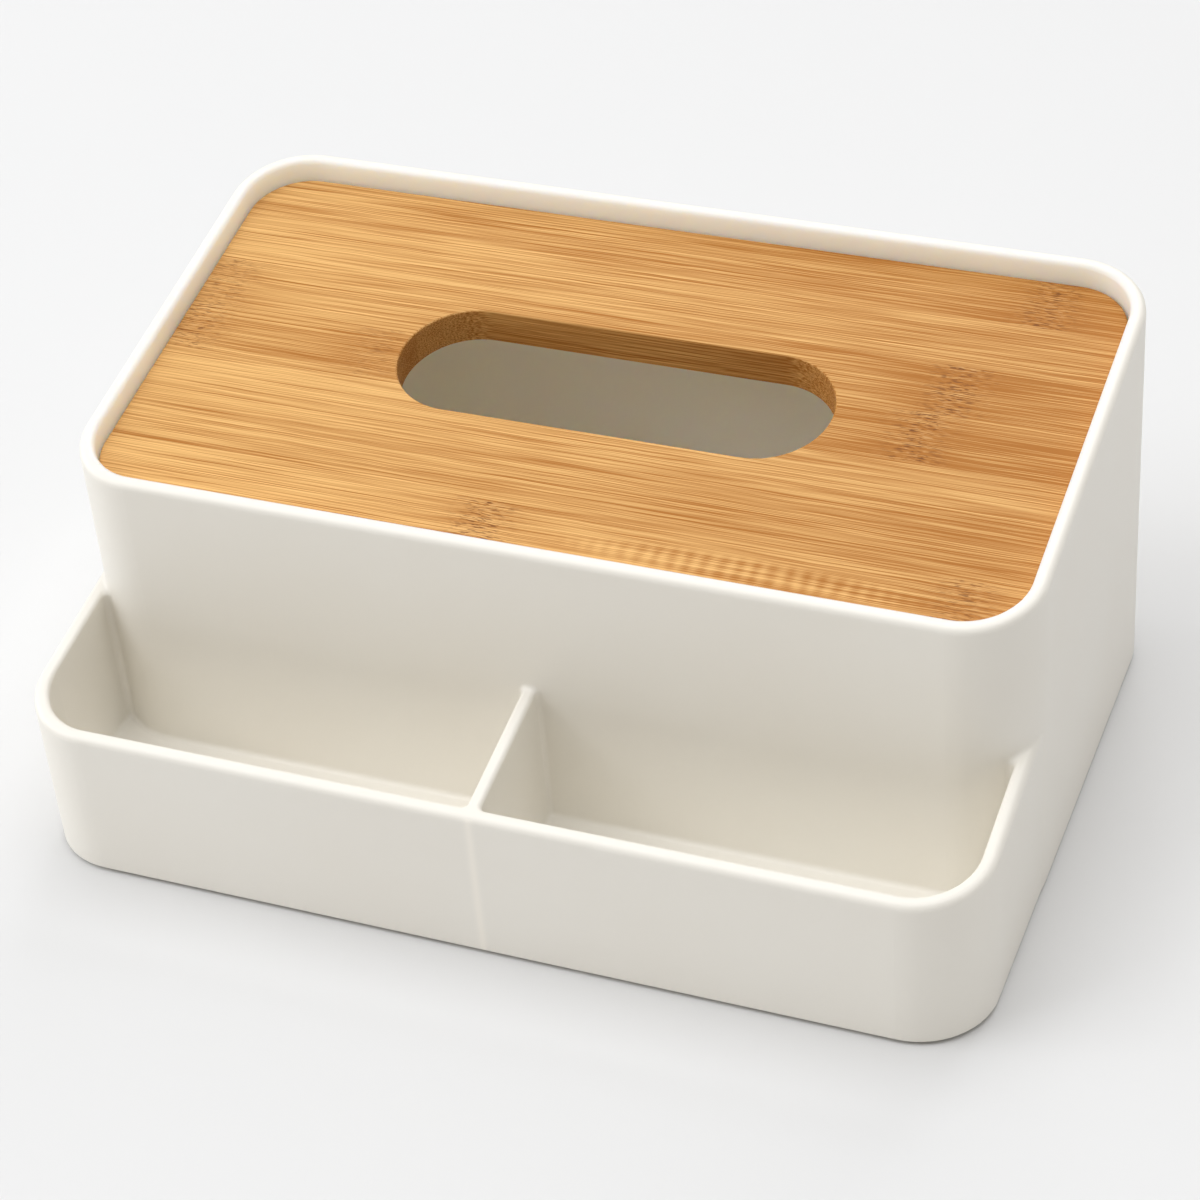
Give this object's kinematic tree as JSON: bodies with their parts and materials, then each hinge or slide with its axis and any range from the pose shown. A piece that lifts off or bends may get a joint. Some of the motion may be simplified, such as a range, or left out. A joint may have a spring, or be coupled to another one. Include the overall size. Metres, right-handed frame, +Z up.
{
  "type": "tissue box organizer",
  "caption": "Wedge-shaped moulded tissue box with rounded corners, a lift-off bamboo lid with an oval slot, and a divided open tray along its front.",
  "frame": {"origin": "on the table, under the middle of the footprint", "axes": "+Z up, -Y towards the front tray, +X along the length"},
  "size_m": [0.255, 0.175, 0.1151],
  "materials": {
    "shell": "satin moulded, warm white",
    "bamboo": "sanded and clear oiled",
    "foot": "matt silicone"
  },
  "bodies": {
    "base": {"body": "shell", "foot_front_left": "foot", "foot_front_right": "foot", "foot_rear_left": "foot", "foot_rear_right": "foot"},
    "lid": {"lid_stave_1": "bamboo", "lid_stave_2": "bamboo", "lid_stave_3": "bamboo", "lid_stave_4_left": "bamboo", "lid_stave_4_right": "bamboo", "lid_stave_5": "bamboo", "lid_stave_6": "bamboo", "lid_stave_7": "bamboo"}
  },
  "joints": [
    {"name": "lid_lift", "type": "slide", "parent": "base", "child": "lid", "axis": [0, 0, 1], "range_m": [0, 0.12]}
  ]
}
